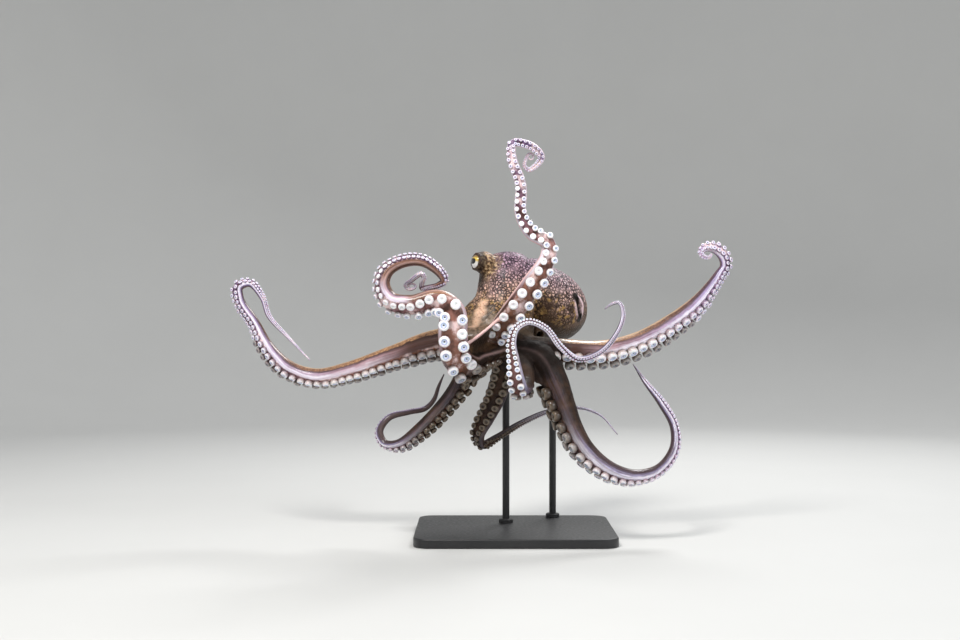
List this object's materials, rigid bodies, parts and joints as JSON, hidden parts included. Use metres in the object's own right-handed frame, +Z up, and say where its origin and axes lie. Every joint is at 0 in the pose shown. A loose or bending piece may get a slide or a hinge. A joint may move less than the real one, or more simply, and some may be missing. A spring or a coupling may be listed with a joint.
{
  "type": "octopus",
  "caption": "Life-size common octopus swimming with its arms spread and their tips coiled, held on a plain display stand.",
  "frame": {"origin": "middle of the underside of the display stand's base, below the animal's centre of weight", "axes": "+Z up; +X to the animal's left, along the widest spread of its arms; -Y the way its mouth and its spread arms face"},
  "size_m": [0.7695, 0.3294, 0.5953],
  "materials": {
    "skin": "wet satin skin, mauve-grey to orange-brown, with paler sucker faces",
    "eye": "clear wet gloss, cream and gold round a dark level slit",
    "stand": "fine satin black"
  },
  "bodies": {
    "root": {"mantle": "skin", "head": "skin", "web": "skin", "eye_right": "eye", "eye_left": "eye", "funnel": "skin", "arm_left_1_base": "skin", "arm_left_1_middle": "skin", "arm_left_1_tip": "skin", "arm_left_2_base": "skin", "arm_left_2_middle": "skin", "arm_left_2_tip": "skin", "arm_left_3_base": "skin", "arm_left_3_middle": "skin", "arm_left_3_tip": "skin", "arm_left_4_base": "skin", "arm_left_4_middle": "skin", "arm_left_4_tip": "skin", "arm_right_4_base": "skin", "arm_right_4_middle": "skin", "arm_right_4_tip": "skin", "arm_right_3_base": "skin", "arm_right_3_middle": "skin", "arm_right_3_tip": "skin", "arm_right_2_base": "skin", "arm_right_2_middle": "skin", "arm_right_2_tip": "skin", "arm_right_1_base": "skin", "arm_right_1_middle": "skin", "arm_right_1_tip": "skin", "stand_base": "stand", "stand_rod_mantle": "stand", "stand_rod_head": "stand"}
  },
  "joints": []
}
